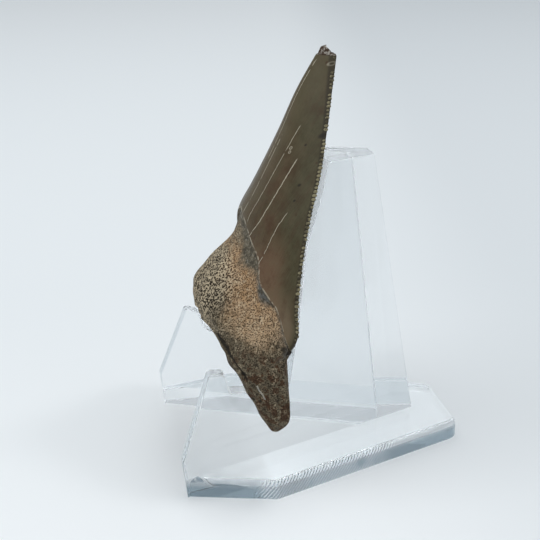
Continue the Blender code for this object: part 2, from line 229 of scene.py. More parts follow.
# One wing's outline: distance from the back corner, height
WING_OUTLINE = [
    (2.8, 0.0), (WING_REACH, 0.0), (WING_REACH, 6.0), (42.4, 19.6), (39.6, 19.0),
    (39.0, 15.7), (28.1, 13.6), (24.5, 25.0), (23.5, 29.5), (21.45, 37.3),
    (18.05, 43.7), (16.6, 47.25), (15.7, WING_HEIGHT), (6.3, WING_HEIGHT)]
WING_CORNER_ROUND = {2: 1.2, 3: 0.9, 4: 0.9, 5: 0.5, 6: 0.8, 12: 0.6}

# Half of the foot's plan, which the mirror completes
FOOT_PLAN = [
    (-2.0, 3.2), (8.0, 3.2), (22.5, -31.6), (18.6, -45.2), (16.75, -45.2),
    (0.15, -5.0), (-2.0, -5.0)]
FOOT_CORNER_ROUND = {1: 3.0, 2: 2.0, 3: 0.5}


def ramp(start, end, t):
    """Smooth step from 0 at start to 1 at end."""
    s = np.clip((t - start) / (end - start), 0, 1)
    return s * s * (3 - 2 * s)


def curve(points, t):
    """Smooth curve through (place, value) points, level beyond its ends."""
    points = np.array(sorted(points), float)
    place, value = points[:, 0], points[:, 1]
    t = np.clip(np.asarray(t, float), place[0], place[-1])
    step = np.diff(place)
    slope = np.diff(value) / step
    tangent = np.empty_like(value)
    tangent[0], tangent[-1] = slope[0], slope[-1]
    tangent[1:-1] = (slope[:-1] * step[1:] + slope[1:] * step[:-1]) / (step[:-1] + step[1:])
    i = np.clip(np.searchsorted(place, t, side="right") - 1, 0, len(step) - 1)
    s = (t - place[i]) / step[i]
    return ((2 * s**3 - 3 * s**2 + 1) * value[i] + (s**3 - 2 * s**2 + s) * step[i] * tangent[i]
            + (3 * s**2 - 2 * s**3) * value[i + 1] + (s**3 - s**2) * step[i] * tangent[i + 1])


def mix(a, b, weight):
    return a * (1 - weight) + b * weight


def distance_to_path(x, z, path):
    """Distance of every (x, z) from a polyline."""
    best = np.full(np.shape(x), 1e9)
    for (x0, z0), (x1, z1) in zip(path, path[1:]):
        length_squared = (x1 - x0) ** 2 + (z1 - z0) ** 2
        along = ((x - x0) * (x1 - x0) + (z - z0) * (z1 - z0)) / length_squared
        along = np.clip(along, 0, 1)
        best = np.minimum(best, np.hypot(x - x0 - along * (x1 - x0), z - z0 - along * (z1 - z0)))
    return best


def lump_wave(x, z, across, up, phase):
    return np.sin(across * x + up * z + phase)


def root_relief(x, z):
    """Depth by which pits, lumps and the crevice lower the lingual root."""
    lumps = sum(lump_wave(x, z, *turns) for turns in LUMP_WAVES)
    lumps = lumps + math.prod(lump_wave(x, z, *turns) for turns in LUMP_DIMPLES)
    depth = LUMP_HEIGHT * lumps
    for pit_x, pit_z, radius, pit_depth in ROOT_PITS:
        depth = depth + pit_depth * np.exp(-((x - pit_x) ** 2 + (z - pit_z) ** 2) / radius**2)
    away = distance_to_path(x, z, CREVICE) / CREVICE_HALF_WIDTH
    return depth + CREVICE_DEPTH * np.exp(-away**2)


def blade(u, z):
    """Blade at height z: x and both faces' y, for u from -1 to 1 across it."""
    half_width = curve(HALF_WIDTH, z)
    edge_y = curve(EDGE_Y, z) + 0 * u
    x = half_width * u
    below_neck = curve(NECK, np.abs(x)) - z
    face = (edge_y - curve(RIDGE_Y, z)) * (1 - np.abs(u) ** BLADE_CROWN)
    outward = np.abs(x) / BULGE_SPREAD
    bulge = mix(BULGE_MIDDLE, BULGE_SIDE, np.clip(outward, 0, 1))
    bulge = bulge * ramp(*BULGE_RISE, below_neck * (1 + outward))
    groove = ramp(*NECK_GROOVE_START, below_neck) * (1 - ramp(*NECK_GROOVE_END, below_neck))
    relief = root_relief(x, z) * ramp(*RELIEF_RISE, below_neck)
    swollen = np.where(below_neck > 0, bulge - NECK_GROOVE * groove - relief, 0)
    swollen = swollen * ramp(0, SIDE_FADE, 1 - np.abs(u))
    back = curve(LABIAL_SWELL, z) * half_width * (1 - u**2) ** 2
    return x, edge_y - face - swollen, edge_y + back


def root(u, q):
    """Root under the shoulders: x, z and both faces' y, for q from 0 to 1 down."""
    opened = ramp(0, BLADE_TO_ROOT, q)
    across = mix(u, np.sin(u * math.pi / 2), opened)
    half_width = curve(ROOT_HALF_WIDTH, q)
    x = across * half_width
    base_x = np.abs(across) * curve(ROOT_HALF_WIDTH, 1.0)
    z = SHOULDER - (SHOULDER - curve(ARCH, base_x)) * q
    lobe = ramp(*LOBE_SPAN, base_x)
    core_y = mix(curve(MIDDLE_Y, q), curve(LOBE_Y, q), lobe)
    depth = mix(curve(MIDDLE_DEPTH, q), curve(LOBE_DEPTH, q), lobe)
    round_side = np.sqrt(np.clip(1 - np.abs(across) ** LOBE_SQUARENESS, 0, 1))
    _, blade_lingual, _ = blade(u, SHOULDER)
    blade_depth = curve(EDGE_Y, SHOULDER) - blade_lingual
    carved = root_relief(x, z) * opened * np.clip(CARVING_FADE * (1 - across**2), 0, 1)
    front = mix(blade_depth, depth * round_side - carved, opened)
    front = front * np.sqrt(np.clip(1 - q**FRONT_SQUARENESS, 0, 1))
    back_depth = mix(MIDDLE_BACK, LOBE_BACK, lobe) * np.sqrt(np.clip(1 - across**2, 0, 1))
    swell = curve(LABIAL_SWELL, SHOULDER) * half_width * (1 - across**2) ** 2
    back = mix(swell, back_depth, opened) * np.sqrt(np.clip(1 - q**BACK_SQUARENESS, 0, 1))
    return x, z, core_y - front, core_y + back


def chip_depth(side, z):
    """How deep the chips out of one cutting edge are at height z."""
    depth = np.zeros(np.shape(z))
    for chip_side, chip_z, chip, half_height in EDGE_CHIPS:
        if chip_side == side:
            depth = depth + chip * np.exp(-((z - chip_z) / half_height) ** 2)
    return depth


def tooth_rows():
    """Cross lines from the tip to the arch: kind and place."""
    above = np.linspace(TIP, FINE_BELOW, round((TIP - FINE_BELOW) / CROWN_ROW), endpoint=False)
    below = np.linspace(FINE_BELOW, SHOULDER, round((FINE_BELOW - SHOULDER) / NECK_ROW) + 1)
    down = 1 - (1 - np.arange(1, ROOT_ROWS + 1) / ROOT_ROWS) ** ROOT_ROW_CROWDING
    return [("blade", z) for z in (*above, *below)] + [("root", q) for q in down]


def tooth_grid():
    """Points of both faces: arrays of rows by columns by (x, y, z)."""
    columns = np.linspace(-1, 1, LINGUAL_COLUMNS + 1)
    lingual, labial = [], []
    for kind, place in tooth_rows():
        if kind == "blade":
            x, front, back = blade(columns, place)
            z = place + 0 * columns
            fade = ramp(SHOULDER, SHOULDER + SERRATION_FADE, place)
            for side, end in ((-1, 0), (1, -1)):
                x[end] -= side * (SERRATION_HEIGHT + float(chip_depth(side, place))) * fade
        else:
            x, z, front, back = root(columns, place)
        lingual.append(np.stack([x, front, z], axis=1))
        labial.append(np.stack([x, back, z], axis=1))
    return columns, np.array(lingual), np.array(labial)


def tooth_body():
    """Both faces of the tooth as points, with the measures that its material reads."""
    columns, lingual, labial = tooth_grid()
    x, z = np.abs(lingual[:, :, 0]), lingual[:, :, 2]
    places = np.linspace(0, NECK_SPAN, NECK_SAMPLES)
    lean = np.interp(x, places, np.gradient(curve(NECK, places), places[1]))
    below_neck = (curve(NECK, x) - z) / np.sqrt(1 + lean**2)
    edge = (1 - np.abs(columns)) * curve(HALF_WIDTH, z)
    crevice = distance_to_path(lingual[:, :, 0], z, CREVICE)
    band = below_neck - curve(BAND_REACH, x)
    keep = np.arange(0, len(columns), LABIAL_SKIP)[1:-1]
    labial = labial[:, keep]
    labial_below = curve(LABIAL_NECK, np.abs(labial[:, :, 0])) - labial[:, :, 2]
    return lingual, labial, (below_neck, band, edge, crevice), (labial_below, edge[:, keep])


def ring_fill(bm, ring):
    """Close the broken tip with the ragged stub of its core."""
    previous = 1.0
    for n, (height, scale) in enumerate(CORE_RINGS):
        shrink = scale / previous
        previous = scale
        inner = []
        for vert in ring:
            x, y, _ = vert.co
            ragged = noise.noise(Vector((x * CORE_GRAIN, y * CORE_GRAIN, n * CORE_RING_SHIFT)))
            inner.append(bm.verts.new((x * shrink,
                                       CORE_MIDDLE_Y + (y - CORE_MIDDLE_Y) * shrink,
                                       height + CORE_RAGGED * ragged)))
        for k in range(len(ring)):
            following = (k + 1) % len(ring)
            bm.faces.new((ring[k], ring[following], inner[following], inner[k]))
        ring = inner
    peak = bm.verts.new(CORE_PEAK)
    for k in range(len(ring)):
        bm.faces.new((ring[k], ring[(k + 1) % len(ring)], peak))


def new_object(name, mesh):
    made = bpy.data.objects.new(name, mesh)
    bpy.context.scene.collection.objects.link(made)
    return made


def build_tooth_body():
    """The tooth as one closed skin: both faces share the cutting edges and the arch."""
    lingual, labial, front_measures, (labial_below, labial_edge) = tooth_body()
    rows, count = lingual.shape[:2]
    bm = bmesh.new()
    layers = [bm.verts.layers.float.new(name)
              for name in ("below_neck", "below_band", "edge_distance", "crevice_distance",
                           "labial")]

    def vertex(point, *measures):
        vert = bm.verts.new(point)
        for layer, measure in zip(layers, measures):
            vert[layer] = measure
        return vert

    front, back = [], []
    for i in range(rows):
        front.append([vertex(lingual[i, j], *(measure[i, j] for measure in front_measures))
                      for j in range(count)])
        if i == rows - 1:
            back.append(front[i][::LABIAL_SKIP])
            continue
        inner = [vertex(labial[i, j], labial_below[i, j], labial_below[i, j] - LABIAL_BAND,
                        labial_edge[i, j], CREVICE_FAR, 1)
                 for j in range(labial.shape[1])]
        back.append([front[i][0], *inner, front[i][-1]])
    kept = len(back[0])
    for i in range(rows - 1):
        for j in range(count - 1):
            bm.faces.new((front[i][j], front[i + 1][j], front[i + 1][j + 1], front[i][j + 1]))
    for i in range(rows - 1):
        for j in range(kept - 1):
            a, b = back[i][j], back[i][j + 1]
            if i < rows - 2:
                bm.faces.new((a, b, back[i + 1][j + 1], back[i + 1][j]))
                continue
            foot = front[i + 1][j * LABIAL_SKIP:(j + 1) * LABIAL_SKIP + 1]
            turn = len(foot) // 2
            for k in range(len(foot) - 1):
                bm.faces.new((foot[k + 1], foot[k], a if k < turn else b))
            bm.faces.new((foot[turn], a, b))
    ring_fill(bm, front[0] + back[0][-2:0:-1])
    bmesh.ops.recalc_face_normals(bm, faces=bm.faces)
    place = Matrix.Translation((0, CORNER_Y * MM, 0)) @ Matrix.Diagonal((MM, MM, MM, 1))
    bmesh.ops.transform(bm, matrix=place, verts=bm.verts)
    mesh = bpy.data.meshes.new("tooth body")
    bm.to_mesh(mesh)
    bm.free()
    mesh.shade_smooth()
    return new_object("fossil_tooth", mesh)


def rounded_outline(points, corner_rounds, steps=6):
    """Outline whose listed corners are arcs of the given radius."""
    outline = []
    for i, corner in enumerate(points):
        radius = corner_rounds.get(i, 0)
        here = np.array(corner)
        if not radius:
            outline.append(tuple(here))
            continue
        to_previous = np.array(points[i - 1]) - here
        to_next = np.array(points[(i + 1) % len(points)]) - here
        to_previous = to_previous / np.linalg.norm(to_previous)
        to_next = to_next / np.linalg.norm(to_next)
        half = math.acos(np.clip(to_previous @ to_next, -1, 1)) / 2
        bisector = (to_previous + to_next) / np.linalg.norm(to_previous + to_next)
        centre = here + bisector * radius / math.sin(half)
        start = here + to_previous * radius / math.tan(half) - centre
        end = here + to_next * radius / math.tan(half) - centre
        for n in range(steps + 1):
            part = n / steps
            spoke = start * (1 - part) + end * part
            outline.append(tuple(centre + spoke * radius / np.linalg.norm(spoke)))
    return outline


def plate_mesh(points, thickness, top_round, foot_round):
    """Flat plate of an outline with rounded rims, from z = -thickness / 2 to thickness / 2."""
    bm = bmesh.new()
    lower = [bm.verts.new((x, y, -thickness / 2)) for x, y in points]
    base = bm.faces.new(lower)
    raised = bmesh.ops.extrude_face_region(bm, geom=[base], use_keep_orig=True)
    upper = [v for v in raised["geom"] if isinstance(v, bmesh.types.BMVert)]
    bmesh.ops.translate(bm, vec=(0, 0, thickness), verts=upper)
    bmesh.ops.recalc_face_normals(bm, faces=bm.faces)
    for height, width in ((thickness / 2, top_round), (-thickness / 2, foot_round)):
        rim = [e for e in bm.edges if all(abs(v.co.z - height) < STAND_WELD for v in e.verts)]
        bmesh.ops.bevel(bm, geom=rim, offset=width, segments=ROUND_SEGMENTS, profile=0.5,
                        affect="EDGES")
    return bm


def half_of_stand(name, bm, place):
    """A plate set in place and completed by its mirror image."""
    bmesh.ops.transform(bm, matrix=Matrix.Diagonal((MM, MM, MM, 1)) @ place, verts=bm.verts)
    bmesh.ops.recalc_face_normals(bm, faces=bm.faces)
    mesh = bpy.data.meshes.new(name)
    bm.to_mesh(mesh)
    bm.free()
    made = new_object(name, mesh)
    mirror = made.modifiers.new("other half", "MIRROR")
    mirror.use_bisect_axis[0] = True
    mirror.use_clip = True
    mirror.merge_threshold = MIRROR_WELD * MM
    return made


def round_corner(mesh):
    """Fillet the line where the wings' inner faces meet."""
    bm = bmesh.new()
    bm.from_mesh(mesh)
    edges = []
    for edge in bm.edges:
        (x0, _, z0), (x1, _, z1) = (vert.co for vert in edge.verts)
        if abs(x0) + abs(x1) < MIDDLE_EDGE * MM and abs(z0 - z1) > LONG_EDGE * MM:
            if edge.calc_face_angle_signed(0) < INWARD_FOLD:
                edges.append(edge)
    bmesh.ops.bevel(bm, geom=edges, offset=CORNER_FILLET * MM, segments=ROUND_SEGMENTS,
                    profile=0.5, affect="EDGES")
    bm.to_mesh(mesh)
    bm.free()


def build_stand():
    """The clear moulding: two upright wings that meet in a V, joined to the foot flange."""
    sin, cos = math.sin(WING_HALF_ANGLE), math.cos(WING_HALF_ANGLE)
    shear = Matrix(((sin, 0, -1, -WING_THICK / 2),
                    (-cos, -WING_LEAN, 0, CORNER_Y),
                    (0, 1, 0, 0),
                    (0, 0, 0, 1)))
    wing = plate_mesh(rounded_outline(WING_OUTLINE, WING_CORNER_ROUND), WING_THICK,
                      WING_RIM_ROUND, WING_RIM_ROUND)
    for vert in wing.verts:
        if vert.co.z > 0:
            vert.co.z += WING_TAPER * (WING_REACH - vert.co.x)
    stand = half_of_stand("clear_stand", wing, shear)
    foot = plate_mesh(rounded_outline(FOOT_PLAN, FOOT_CORNER_ROUND), FOOT_THICK,
                      FOOT_TOP_ROUND, FOOT_RIM_ROUND)
    foot = half_of_stand("foot", foot, Matrix.Translation((0, CORNER_Y, FOOT_THICK / 2)))
    join = stand.modifiers.new("foot flange", "BOOLEAN")
    join.operation = "UNION"
    join.solver = "MANIFOLD"
    join.object = foot
    evaluated = stand.evaluated_get(bpy.context.evaluated_depsgraph_get())
    mesh = bpy.data.meshes.new_from_object(evaluated)
    stand.modifiers.clear()
    bare, stand.data = stand.data, mesh
    bpy.data.meshes.remove(bare)
    bpy.data.objects.remove(foot)
    mesh.materials.clear()
    round_corner(mesh)
    mesh.shade_smooth()
    mesh.set_sharp_from_angle(angle=SHARP_ANGLE)
    weighted = stand.modifiers.new("flat faces stay flat", "WEIGHTED_NORMAL")
    weighted.keep_sharp = True
    return stand


def paint(red, green, blue):
    """Linear colour of a screen colour given as 0 to 255."""
    def linear(part):
        part /= 255
        return part / 12.92 if part <= 0.04045 else ((part + 0.055) / 1.055) ** 2.4
    return (linear(red), linear(green), linear(blue), 1.0)


# Colours of the fossil
ENAMEL_OLIVE = paint(70, 59, 38)
ENAMEL_GREEN = paint(66, 63, 42)
ENAMEL_BROWN = paint(66, 50, 33)
ENAMEL_WARM = paint(88, 64, 46)
ENAMEL_ROSE = paint(106, 80, 60)
ENAMEL_PALE_AND_PAINTED_LIGHT = paint(96, 86, 64)
ENAMEL_FOOT = paint(122, 102, 80)
SPECK_BROWN = paint(62, 38, 20)
SPECK_AND_SHADE_DARK = paint(34, 29, 20)
PALE_MARK_AND_HIGHLIGHT = paint(190, 180, 158)
BEAD_PALE_AND_HIGHLIGHT = paint(158, 148, 116)
BAND_DARK = paint(66, 60, 49)
BAND_GREY = paint(112, 103, 86)
BAND_BLUE = paint(84, 88, 90)
BAND_LIGHT = paint(180, 176, 164)
ROOT_GREY = paint(112, 101, 82)
ROOT_SAND = paint(140, 126, 104)
ROOT_TAN = paint(186, 154, 120)
ROOT_RUST = paint(172, 134, 94)
ROOT_PALE = paint(206, 188, 158)
ROOT_DARK = paint(74, 60, 42)
ROOT_PAINTED_SHADE = paint(84, 75, 59)
LOBE_BROWN = paint(106, 95, 77)
STAIN_BROWN = paint(72, 45, 27)
STAIN_AND_SHADE_BLACK = paint(30, 25, 19)
PORE_DARK = paint(36, 28, 19)
CORE_BROWN = paint(70, 54, 42)
CORE_GREY = paint(168, 160, 150)
ENAMEL_IOR = 1.25

# Roughness of the enamel, added by its streaks, of the dull band, added by the root, of the stub
ENAMEL_ROUGHNESS = 0.26
STREAK_ROUGHNESS = 0.16
BAND_ROUGHNESS = 0.62
ROOT_ROUGHNESS = 0.2
CORE_ROUGHNESS = 0.75

# Depth of each material's fine relief
FOSSIL_RELIEF = 0.16
PLASTIC_RELIEF = 0.03

# Colours of the clear plastic, of its shadow, of the painted glow for light led inside it, of the
# painted shade on its near wall and rims and of the painted highlight on its foot's rim
PLASTIC_TINT = (0.965, 0.978, 0.985, 1)
SHADOW_TINT = (0.985, 0.99, 0.995, 1)
PAINTED_GLOW = (0.7, 0.76, 0.8, 1)
PAINTED_SHADE_GLOW = (0.2, 0.27, 0.32, 1)
PAINTED_GLOW_DEPTH = 4.5
PAINTED_WALL_SHADE = (0.1, 0.17, 0.22, 1)
PAINTED_RIM_HIGHLIGHT = (0.95, 0.97, 0.98, 1)
PAINTED_RIM_SHADE = (0.5, 0.57, 0.62, 1)
PLASTIC_IOR = 1.49
PLASTIC_CLARITY = 0.95
PLASTIC_ROUGHNESS = 0.02
RIM_ROUGHNESS = 0.15

# Tool marks of the foot's wall, and the foot's side and front: way outwards, and how far out
MARK_SPACING = 0.58
MARK_SLANT = 0.8
MARK_DEPTH = 1.0
FOOT_SIDE_WAY, FOOT_SIDE_OUT = (0.923, 0.385), (14.5, 16)
FOOT_FRONT_WAY, FOOT_FRONT_OUT = (0.961, -0.276), (23, 24)

# Floor from near to far, and on the right, with painted shade that darkens it away from the near
# side and on the right
FLOOR_NEAR = (0.94, 0.955, 0.96, 1)
FLOOR_MIDDLE_PAINTED_SHADE = (0.835, 0.86, 0.87, 1)
FLOOR_FAR_PAINTED_SHADE = (0.85, 0.865, 0.87, 1)
FLOOR_RIGHT_PAINTED_SHADE = (0.62, 0.65, 0.67, 1)


def feed(node, inputs):
    """Give sockets of a node their numbers, colours or links."""
    for name, given in inputs.items():
        given = getattr(given, "socket", given)
        if isinstance(given, bpy.types.NodeSocket):
            node.id_data.links.new(given, node.inputs[name])
        else:
            node.inputs[name].default_value = given


def add_node(tree, kind, settings=None, inputs=None):
    """A node with its settings, then what its sockets are given."""
    made = tree.nodes.new(kind)
    for name, setting in (settings or {}).items():
        setattr(made, name, setting)
    feed(made, inputs or {})
    return made


class Value:
    """A number that varies over a surface, with Python's operators as Math nodes."""

    def __init__(self, finish, socket):
        self.finish = finish
        self.socket = socket

    def math(self, operation, *others):
        inputs = dict(enumerate((self, *others)))
        return self.finish.value("ShaderNodeMath", {"operation": operation}, inputs)

    def __add__(self, other):
        return self.math("ADD", other)

    def __sub__(self, other):
        return self.math("SUBTRACT", other)

    def __mul__(self, other):
        return self.math("MULTIPLY", other)

    def __truediv__(self, other):
        return self.math("DIVIDE", other)

    def __rsub__(self, other):
        return self * -1 + other

    def __abs__(self):
        return self.math("ABSOLUTE")

    def above(self, start, end):
        """0 where the number is start, rising smoothly to 1 where it is end."""
        inputs = {0: self, "From Min": start, "From Max": end}
        return self.finish.value("ShaderNodeMapRange", {"interpolation_type": "SMOOTHSTEP"}, inputs)

    def within(self, start, end, soft):
        """1 between start and end, fading out over the soft width."""
        return self.above(start - soft, start) * (1 - self.above(end, end + soft))


class Finish:
    """A material built from nodes, in millimetres of the object's own coordinates."""

    def __init__(self, name):
        self.material = bpy.data.materials.new(name)
        self.material.use_nodes = True
        self.tree = self.material.node_tree
        self.shader = self.tree.nodes["Principled BSDF"]
        place = self.node("ShaderNodeTexCoord").outputs["Object"]
        self.place = self.stretch(place, (1 / MM,) * 3)
        parts = self.node("ShaderNodeSeparateXYZ", {}, {0: self.place}).outputs
        self.x, self.y, self.z = (Value(self, part) for part in parts)

    def node(self, kind, settings=None, inputs=None):
        return add_node(self.tree, kind, settings, inputs)

    def value(self, kind, settings=None, inputs=None, output=0):
        return Value(self, self.node(kind, settings, inputs).outputs[output])

    def stretch(self, vector, scale):
        """A vector multiplied by a scale along each axis."""
        return self.node("ShaderNodeVectorMath", {"operation": "MULTIPLY"},
                         {0: vector, 1: scale}).outputs[0]

    def measure(self, name):
        """A number stored on the mesh."""
        return self.value("ShaderNodeAttribute", {"attribute_name": name}, output="Fac")

    def noise(self, scale, detail=3.0, rough=0.5, stretch=(1, 1, 1)):
        """Cloudy noise round 0.5, with that many waves to the millimetre."""
        place = self.stretch(self.place, stretch)
        return self.value("ShaderNodeTexNoise", None,
                          {"Vector": place, "Scale": scale, "Detail": detail, "Roughness": rough})

    def cells(self, scale, stretch=(1, 1, 1)):
        """Distance from scattered points, with that many points to the millimetre."""
        place = self.stretch(self.place, stretch)
        return self.value("ShaderNodeTexVoronoi", None, {"Vector": place, "Scale": scale},
                          "Distance")

    def warped(self, scale, reach):
        """The coordinates pushed about by noise, so that what they place is uneven."""
        push = self.node("ShaderNodeTexNoise", None, {"Vector": self.place, "Scale": scale})
        push = self.stretch(push.outputs["Color"], (reach,) * 3)
        return self.node("ShaderNodeVectorMath", {"operation": "ADD"},
                         {0: self.place, 1: push}).outputs[0]

    def blend(self, weight, first, second):
        """Two colours mixed by a weight from 0 to 1."""
        return self.node("ShaderNodeMix", {"data_type": "RGBA"},
                         {0: weight, 6: first, 7: second}).outputs[2]

    def coat(self, colour, *layers):
        """A colour with layers laid over it in turn: strength, where from 0 to 1, and colour."""
        for strength, where, over in layers:
            colour = self.blend(where * strength, colour, over)
        return colour

    def plain(self, kind, colour):
        """A simple shader of one colour."""
        return self.node(kind, None, {"Color": colour}).outputs[0]

    def mixed(self, weight, first, second):
        """Two shaders mixed by a weight from 0 to 1."""
        return self.node("ShaderNodeMixShader", None, {0: weight, 1: first, 2: second}).outputs[0]

    def link(self, **inputs):
        """Feed the shader's sockets: names with _ for the spaces."""
        feed(self.shader, {name.replace("_", " "): given for name, given in inputs.items()})

    def bump(self, height, depth):
        """Normal tilted by a height from 0 to 1 that stands for a depth in millimetres."""
        return self.node("ShaderNodeBump", None,
                         {"Strength": 1.0, "Distance": depth * MM, "Height": height}).outputs[0]


def crack_line(finish, path, half_width):
    """1 along a crack whose x bends at the given (x, height) points, fading at its ends."""
    (x0, z0), *later = path
    line = x0
    for x1, z1 in later:
        rise = (finish.z - z0).math("MAXIMUM", 0).math("MINIMUM", z1 - z0)
        line = rise * ((x1 - x0) / (z1 - z0)) + line
        x0, z0 = x1, z1
    wobble = (finish.noise(0.9, 2, stretch=(0, 0, 1)) - 0.5) * CRACK_WOBBLE
    uneven = finish.noise(2.2, 2, stretch=(0, 0, 1)) * 1.7 + 0.15
    away = abs(finish.x - line - wobble) / uneven
    broken = finish.noise(0.8, 2, stretch=(0.3, 0, 1)).above(0.33, 0.42)
    inside = finish.z.within(path[0][1], path[-1][1], 0.6)
    return (1 - away.above(half_width * 0.4, half_width)) * inside * broken


def spot(across, height, place, radius, soft=0.5):
    """1 on a small round mark at a place (across, height) of the near side."""
    across, height = across - place[0], height - place[1]
    away = (across * across + height * height).math("SQRT")
    return 1 - away.above(radius * (1 - soft), radius * (1 + soft))


def path_line(over, height, path, half_width):
    """1 on a thin mark that runs straight from point to point of (across, height)."""
    line = 0
    for (x0, z0), (x1, z1) in zip(path, path[1:]):
        length = math.hypot(x1 - x0, z1 - z0)
        ux, uz = (x1 - x0) / length, (z1 - z0) / length
        along = (over - x0) * ux + (height - z0) * uz
        across = abs((over - x0) * uz - (height - z0) * ux)
        mark = (1 - across.above(half_width * 0.5, half_width)) * along.within(0, length, 0.1)
        line = mark.math("MAXIMUM", line)
    return line


def enamel_colour(f, edge, labial):
    """Olive enamel, green near its edge and rosy low down, with cracks and specks, painted light
    near the ridge, painted shade along the cutting edges and a painted highlight drawn as a crack.
    """
    lingual = 1 - labial
    streak = f.noise(1.0, 4, 0.6, stretch=(6.5, 1.0, 0.05))
    broad_streak = f.noise(1.0, 2, 0.5, stretch=(0.8, 0.3, 0.05))
    wander = (f.noise(0.11, 3, 0.55) - 0.5) * 6
    green = (1 - (edge + wander).above(2.5, 6)) * (1 - labial * 0.5)
    warm = f.noise(0.2, 3, 0.6).above(0.4, 0.62) * edge.above(3, 7)
    rosy = (edge + wander * 0.4).above(1.5, 4.5) * (1 - (f.z + wander * 0.7).above(35, 42))
    foot = (1 - (f.z + wander * 0.5).above(28, 35)) * edge.above(0.4, 2.0) * lingual
    blotch = f.noise(0.35, 4, 0.6)
    # Painted light: the enamel made lighter near the lingual ridge
    ridge = (1 - abs(f.x).above(1.5, 7)) * lingual
    speck = 1 - f.cells(0.42, stretch=(1, 1, 0.7)).above(0.1, 0.17)
    speck = speck * f.noise(0.3, 1).above(0.5, 0.56)
    enamel = f.coat(ENAMEL_OLIVE,
                    (0.85, green, ENAMEL_GREEN),
                    (0.5, broad_streak.above(0.42, 0.68), ENAMEL_BROWN),
                    (0.55, warm, ENAMEL_WARM),
                    (0.8, rosy, ENAMEL_ROSE),
                    (0.7, foot, ENAMEL_FOOT),
                    (0.3, streak.above(0.3, 0.8), ENAMEL_PALE_AND_PAINTED_LIGHT),
                    (0.4, blotch.above(0.4, 0.75), ENAMEL_PALE_AND_PAINTED_LIGHT),
                    (0.35, 1 - blotch.above(0.3, 0.5), SPECK_BROWN),
                    (0.5, ridge, ENAMEL_PALE_AND_PAINTED_LIGHT),
                    (0.7, speck, SPECK_BROWN))
    for *place, radius in EDGE_SPOTS:
        enamel = f.coat(enamel, (0.85, spot(f.x, f.z, place, radius) * lingual, SPECK_AND_SHADE_DARK))
    for *place, radius in RING_CHIPS:
        ring = spot(f.x, f.z, place, radius, 0.3) - spot(f.x, f.z, place, radius * 0.5, 0.3)
        enamel = f.coat(enamel, (0.6, ring * lingual, PALE_MARK_AND_HIGHLIGHT))
    # Painted shade: a dark band along the serrated cutting edges
    edge_painted_shade = 1 - edge.above(0.45, 0.75)
    # The last path is a painted highlight along the lingual ridge, drawn like the cracks
    cracks = 0
    for path, half_width in CRACKS_AND_RIDGE_HIGHLIGHT:
        cracks = crack_line(f, path, half_width) + cracks
    cracks = cracks * lingual
    enamel = f.coat(enamel, (0.6, edge_painted_shade, SPECK_AND_SHADE_DARK), (0.8, cracks, PALE_MARK_AND_HIGHLIGHT))
    return enamel, streak, cracks


